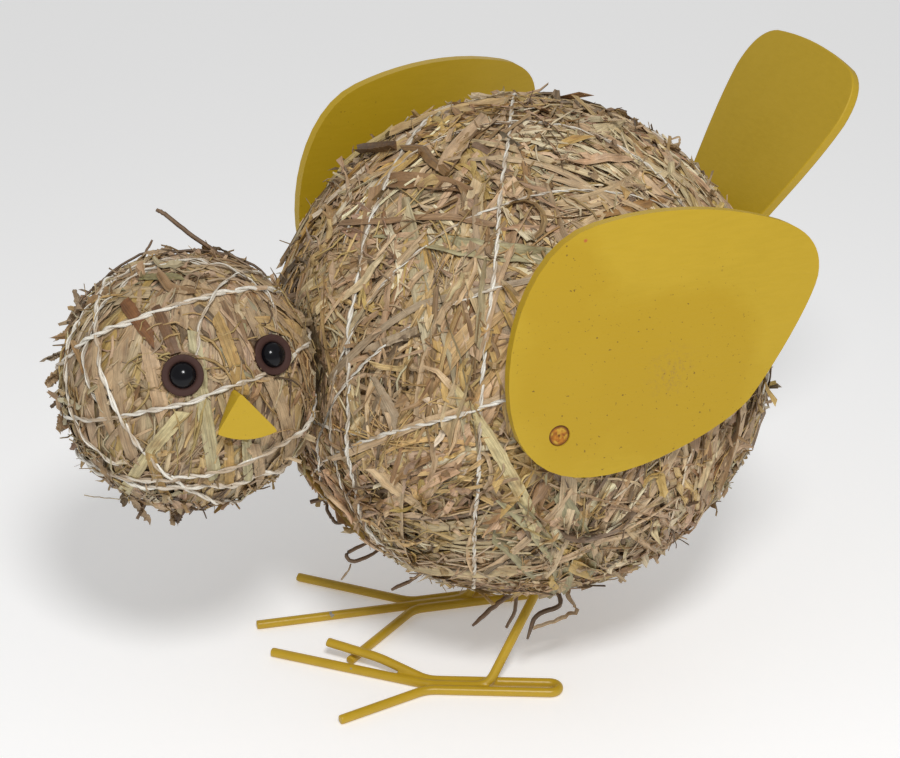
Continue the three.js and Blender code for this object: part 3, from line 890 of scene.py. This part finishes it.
def loose_straws():
    """Single straws that stand clear of the two balls. Each place is azimuth, elevation, height."""
    dark = linear(136, 108, 80)
    stem = {"lift": 0, "rough": 0.15, "wave": 0, "torn": 0.6, "curl": 0, "skew": 0, "round_stem": True}
    blade = {"lift": 0, "roll": 0.5, "twist": 0.5, "rough": 0.25, "wave": 0.2, "torn": 0.8, "curl": 0.8,
             "ragged": 0.12}
    lay("loose_stems", "body", fibre, 51, 0, [
        ([(-89, -48, -1), (-88, -46, 2.7), (-90, -44, 9.3), (-88, -46, 10.2), (-86, -48, 5),
          (-86, -50, -1)], 1.2, dark),
        ([(-88, -46, 10.2), (-87, -46, 12.2), (-87, -46, 15.9)], 0.7, GREY),
        ([(-24, -64, -1), (-30, -65, 1.5), (-40, -64, 6.4), (-48, -63, 12.9)], 1.6, dark),
        ([(-24, -66, -1), (-28, -65, 1.5), (-29, -65, 7.8), (-33, -65, 12.4)], 1.2, dark),
        ([(-8, -62, -1), (-6, -64, 1.8), (-6, -63, 6.7), (-19, -65, 8.5), (-23, -65, 15.9)], 1.5, BROWN),
        ([(-92, -34, -1), (-98, -34, 2.2), (-99, -33, 6.1)], 1.4, dark),
        ([(-98, -34, 1), (-96, -36, 3.7), (-94, -39, 4.4), (-93, -41, 1.0)], 1.1, BROWN),
        ([(-68, -55, 0), (-74, -55, 5.8), (-76, -54, 8.2), (-77, -53, 10.3)], 1.2, dark),
        ([(106, 59, -1), (109, 57, 0.5), (110, 57, 3.6), (107, 55, 4.4)], 1.1, BROWN),
    ], **stem)
    lay("loose_leaves", "body", leaf, 53, 0, [
        ([(-4, -60, -1), (-2, -63, 2.2), (1, -62, 8.7), (-8, -64, 10), (-20, -65, 12.1)], 1.9, TAN),
        ([(90, 52, -1), (94, 48, 2.1), (92, 46, 6.7), (91, 45, 3.5), (94, 48, -1)], 1.6, TAN),
        ([(112, 56, -2), (105, 55, -0.5), (100, 52, 2.8)], 1.8, GREY),
    ], **blade)
    lay("loose_stems", "head", fibre, 52, 0, [
        ([(90, 54, -0.5), (122, 61, 1.3), (151, 65, 5.7), (172, 64, 12), (178, 63, 13.8)], 1.3, dark),
        ([(-128, 24, -0.5), (-145, 46, 2.4), (-169, 60, 1.9), (138, 64, 2.6), (98, 51, 3.0),
          (90, 40, 0)], 0.8, BROWN),
        ([(-150, 54, -0.5), (-162, 57, 1.2), (-171, 60, 4.2), (-175, 61, 5.9)], 0.8, dark),
        ([(-118, 40, 0), (-140, 50, 2.6), (-170, 58, 3.6), (150, 62, 1.6), (120, 58, 0)], 0.7, BROWN),
        ([(-112, 18, 0.5), (-128, 34, 3.0), (-150, 47, 2.6), (-170, 50, 0)], 0.6, dark),
    ], **stem)
    lay("loose_leaves", "head", leaf, 54, 0, [
        ([(-122, 20, -1), (-131, 29, 0), (-135, 35, 6.0)], 2.8, GREY),
        ([(-58, -62, 0), (-67, -59, 1.4), (-92, -42, 8.4)], 2.0, PALE),
        ([(-60, -54, -0.5), (-65, -59, 0.8), (-67, -58, 6.4)], 3.0, BROWN),
        ([(-42, -56, -0.5), (-47, -64, 1), (-43, -64, 5.9)], 3.0, TAN),
        ([(-74, -50, -0.5), (-70, -57, 2.5), (-58, -60, 5.5)], 3.4, TAN),
        ([(-84, -46, -0.5), (-80, -52, 1.5), (-76, -53, 4.5)], 2.6, GREY),
        ([(-38, -60, -0.5), (-34, -64, 2.5), (-38, -66, 5.5)], 2.4, BROWN),
        ([(-118, 14, -0.5), (-122, 12, 1.9), (-120, 8, 6.0)], 2.4, GREY),
        ([(-108, 8, -0.5), (-114, 4, 1.5), (-117, 0, 5.6)], 2.6, TAN),
        ([(-110, -2, -0.5), (-114, -6, 1.2), (-113, -10, 4.8)], 2.4, BROWN),
        ([(-104, -8, -0.5), (-110, -14, 1.5), (-108, -20, 4.0)], 3.0, TAN),
        ([(-116, 24, -0.5), (-124, 20, 1.5), (-126, 14, 4.6)], 2.2, TAN),
        ([(-128, 36, -0.5), (-138, 40, 2.5), (-150, 44, 2.8)], 2.4, GREY),
        ([(-156, 54, 0), (-166, 60, 3.2), (170, 62, 2.8)], 2.6, TAN),
        ([(150, 66, 0), (130, 60, 3.2), (112, 56, 2.0)], 2.4, GREY),
        ([(100, 30, -0.5), (88, 24, 2.4), (82, 16, 2.6)], 2.6, TAN),
    ], **blade)


# Each ring is the azimuth, elevation and offset of its plane, then, where one side of it runs
# under the straw, the direction of that side.
BODY_RINGS = [
    (-121, 3, 7.3), (42, 2, -25.5), (167, 3, -36.5), (174, 52, -26.9), (-28, 36, 51.9, -60, -40),
    (164, 24, -35), (160, -35, 8), (122, 56, -42, 12, -40), (118, 12, 46),
]
HEAD_RINGS = [
    (-175, 51, 13.7), (50, 33, -1.9), (-146, 73, 3.3), (-88, 81, -10.7), (127, 85, -19.1),
    (-29, 34, 18.9, 25, 0), (41, 12, 20.6, 0, -50), (-16, 38, 22.5, 5, -20),
]


def dress_head():
    """The head's straw: broad smooth leaves run down the face, frayed straw goes over the rest."""
    down = {"along": (0.05, 0.12, 1), "fan": 0.2}
    flat = {"lift": 0.2, "roll": 0.08, "twist": 0.1, "rough": 0.1, "wave": 0.2}
    thin = {"lift": 0.5, "rough": 0.3, "wave": 0.5, "round_stem": True, "curl": 0, "skew": 0}
    crumpled = {"lift": 0.6, "roll": 0.25, "twist": 0.35, "rough": 0.35, "wave": 0.6, "curl": 0.4,
                "torn": 0.95, "ragged": 0.12}
    # The underlayer's tone times 0.8: painted shade under the layers above.
    base = scatter("underlayer", "head", leaf, 31, {**flat, "shade": 0.8}, count=420, bundle=2,
                   stray=0.1, lie=(-2.2, -0.8), length=(18, 42), width=(3, 6), **down)
    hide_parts("head_straw_coat")
    scatter("leaves", "head", leaf, 32, {**flat, "curl": 0.15}, count=430, bundle=2, stray=0.06,
            lie=(-1.0, 0.3), length=(16, 44), width=(2.4, 5.6), bend=0.05, **down)
    scatter("slivers", "head", leaf, 33, flat, count=420, bundle=3, stray=0.25, spread=1.6,
            lie=(-0.5, 0.6), length=(10, 30), width=(0.7, 1.8), **down)
    scatter("scraps", "head", leaf, 34, crumpled, count=150, bundle=2, stray=0.6,
            lie=(-0.2, 0.5), length=(5, 14), width=(0.8, 2.4), bend=0.3, steps=8, **down)
    scatter("fibres", "head", fibre, 35, thin, count=260, bundle=3, stray=0.35, spread=4,
            lie=(0, 1.0), length=(10, 32), width=(0.3, 0.8), bend=0.2, tones=FIBRE_TONES, **down)
    scatter("fuzz", "head", fibre, 36, {**thin, "lift": 1.3, "rough": 0.5, "wave": 0.8},
            count=200, stray=1, lie=(0.2, 1.0), length=(6, 20), width=(0.3, 0.7), bend=0.4,
            tones=FIBRE_TONES)
    scatter("frayed_leaves", "head", leaf, 38, {**crumpled, "lift": 1.6, "roll": 0.6},
            count=170, stray=1, lie=(0.2, 1.2), length=(6, 14), width=(1.0, 3.0), bend=0.3,
            keep_off=direction(-12, 15))
    lay("broad_leaves", "head", leaf, 37, 0.9, [
        ([(-14, 46), (-13, 16), (-9, -24)], 3.8, GREENISH),
        ([(-22, 12), (-37, -7), (-66, -42)], 3.4, PALE),
        ([(-73, 57), (-37, 42)], 3.4, CHESTNUT),
        ([(-42, 58), (-26, 40), (-22, 30)], 3.0, linear(120, 86, 54)),
        ([(3, 52), (4, 32), (6, 14)], 3.8, GOLD),
        ([(-3, 2), (-3, -14), (-1, -30)], 2.6, GOLD),
        ([(5, -2), (6, -14), (9, -30)], 2.8, GREENISH),
        ([(19, 22), (28, -8), (41, -34)], 4.6, TAN),
        ([(9, -8), (19, -36)], 3.4, TAN),
        ([(-10, 74), (-22, 49)], 4.2, TAN),
        ([(-86, 70), (-19, 76)], 3.2, OLIVE),
        ([(48, 60), (66, 25)], 4.4, linear(208, 178, 134)),
        ([(40, 50), (58, 14)], 3.2, TAN),
        ([(-72, 36), (-54, 0)], 4.0, linear(206, 176, 136)),
        ([(-56, 38), (-45, -14)], 4.2, TAN),
        ([(-39, 38), (-30, 10)], 4.4, linear(204, 172, 132)),
        ([(-37, -8), (-33, -40)], 3.0, GOLD),
    ], lift=0.25, roll=0.06, twist=0.1, rough=0.06, wave=0.15, torn=0.35, curl=0.1)


build_ground("body")
build_ground("head")
dress_body()
dress_head()
loose_straws()

wind("body", 41, BODY_RINGS, height=1.45, ply=0.36, pitch=9)
wind("head", 43, HEAD_RINGS, height=1.2, ply=0.4, pitch=11)


# ---- boards ----

YELLOW = linear(185, 153, 28)
SAWN_EDGE = 0.5  # how far the paint rounds the boards' edges
LEFT_SCREW = SCREWS["left"]
near_paint = paint_material(
    "wing_paint", YELLOW,
    stains=[(LEFT_SCREW + (-3.3, 0.8, 41.6), 10, 17), (LEFT_SCREW + (3, 34, 12), 20, 27),
            (LEFT_SCREW + (0, 8, 14), 16, 30)],
    scuffs=[(LEFT_SCREW + (2.4, 32.5, 12.9), 2, 9)],
    flecks=[LEFT_SCREW + (-3.4, 8.2, 52.3), LEFT_SCREW + (1.6, 13.8, -0.6)],
)
plain_paint = paint_material("board_paint", YELLOW)
boards = [
    ("wing_left", "wing_left", near_paint),
    ("wing_right", "wing_right", plain_paint),
    ("tail_board", "torso", plain_paint),
    ("beak", "head", plain_paint),
]
for node, body, paint in boards:
    piece = softened(f"{node}_painted", node, paint, SAWN_EDGE)
    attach(piece, body)
    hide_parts(node)

# ---- legs and feet ----

wire_paint = wire_material()
for side in ("left", "right"):
    piece = welded(f"foot_{side}_painted", [f"leg_wire_{side}", f"foot_wire_{side}"], wire_paint)
    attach(piece, "torso")
    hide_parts(f"leg_wire_{side}", f"foot_wire_{side}")

# ---- eyes ----

brown = disc_material()
black = button_material()
HOLE = 3.5  # radius of the hole in a disc
BUTTON = 3.4  # radius of a button
BUTTON_RISE = 2.5
disc_profile = [
    (HOLE, -EYE_THICKNESS), (EYE_RADIUS, -EYE_THICKNESS), (EYE_RADIUS, -0.35), (5.42, -0.12), (5.25, -0.03),
    (5.0, 0.0), (4.2, -0.1), (HOLE, -0.2), (HOLE, -EYE_THICKNESS),
]
dome = [(BUTTON * math.cos(t), -0.4 + BUTTON_RISE * math.sin(t)) for t in np.linspace(0, math.pi / 2, 24)]
dome[-1] = (0, dome[-1][1])
button_profile = [(0, -1.55), (BUTTON, -1.55)] + dome
for side, eye in EYES.items():
    origin = HEAD + eye["spot"] * EYE_FRONT
    disc = turned(f"eye_{side}_ring", disc_profile, origin, eye["normal"], brown)
    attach(disc, "head")
    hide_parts(f"eye_{side}_disc")
    button = turned(f"eye_{side}_button", button_profile, origin, eye["normal"], black)
    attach(button, "head")
    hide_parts(f"eye_{side}_pupil")

# ---- CAD nodes that stay ----

stay = {
    "body_core": painted_shade_hay, "head_core": painted_shade_hay, "neck_dowel": wood_material(), "cross_dowel": wood_material(),
    "wing_left_screw": rust_material("left_screw", SCREWS["left"]),
    "wing_right_screw": rust_material("right_screw", SCREWS["right"]),
    "beak_pin": rust_material("pin_steel"),
}
for node, material in stay.items():
    slots = frame["nodes"][node].data.materials
    if len(slots):
        slots[0] = material
    else:
        slots.append(material)


# ---- floor, light, camera ----

FLOOR_SIZE = 60  # metres, so that its edge is never in view
FLOOR_GLOW = 0.22
SKY_STRENGTH = 0.42
VIEW_AZIMUTH = math.radians(63.6)
VIEW_ELEVATION = math.radians(25)
FOCAL_LENGTH = 80.7
CAMERA_PLACE = Vector((0.4857, -0.2645, 0.2464))  # metres, from the body's centre


def stage():
    """A pale floor without end."""
    shader = Shader("floor", roughness=0.9, specular=0.1)
    patches = shader.noise(shader.coordinates(), 3)
    shader.colour(shader.mix(patches, (0.92, 0.92, 0.92, 1), (0.94, 0.94, 0.94, 1)))
    shader.surface.inputs["Emission Color"].default_value = (1, 1, 1, 1)
    shader.surface.inputs["Emission Strength"].default_value = FLOOR_GLOW
    bpy.ops.mesh.primitive_plane_add(size=FLOOR_SIZE, location=(0, 0, 0))
    floor = bpy.context.object
    floor.name = "floor"
    floor.data.materials.append(shader.material)


def camera():
    """The camera looks from the chick's left front, a little above."""
    right = Vector((math.cos(VIEW_AZIMUTH), math.sin(VIEW_AZIMUTH), 0))
    level = Vector((math.sin(VIEW_AZIMUTH), -math.cos(VIEW_AZIMUTH), 0))
    backward = level * math.cos(VIEW_ELEVATION) + Vector((0, 0, math.sin(VIEW_ELEVATION)))
    up = backward.cross(right)
    data = bpy.data.cameras.new("camera")
    data.sensor_width = 36
    data.lens = FOCAL_LENGTH
    item = linked("camera", data)
    place = Vector(BODY) * MM + CAMERA_PLACE
    item.matrix_world = Matrix.Translation(place) @ Matrix((right, up, backward)).transposed().to_4x4()
    bpy.context.scene.camera = item
    return right, up, backward


def area_light(name, place, target, size, power):
    data = bpy.data.lights.new(name, "AREA")
    data.shape = "DISK"
    data.size = size
    data.energy = power
    item = linked(name, data)
    item.location = place
    item.rotation_euler = (Vector(target) - Vector(place)).to_track_quat("-Z", "Y").to_euler()


def lights(right, up, backward):
    """A small hard lamp near the camera, a weak wide one behind, and an even sky."""
    middle = Vector(BODY) * MM
    area_light("flash", middle + backward * 0.68 + up * 0.25 + right * 0.03, middle, 0.14, 3.02)
    area_light("back", middle - backward * 0.9 + up * 1.1, middle, 0.9, 0.7)
    world = bpy.data.worlds.new("world")
    world.use_nodes = True
    world.node_tree.nodes["Background"].inputs["Color"].default_value = (1, 1, 1, 1)
    world.node_tree.nodes["Background"].inputs["Strength"].default_value = SKY_STRENGTH
    bpy.context.scene.world = world


stage()
lights(*camera())
bpy.context.scene.view_settings.view_transform = "Standard"
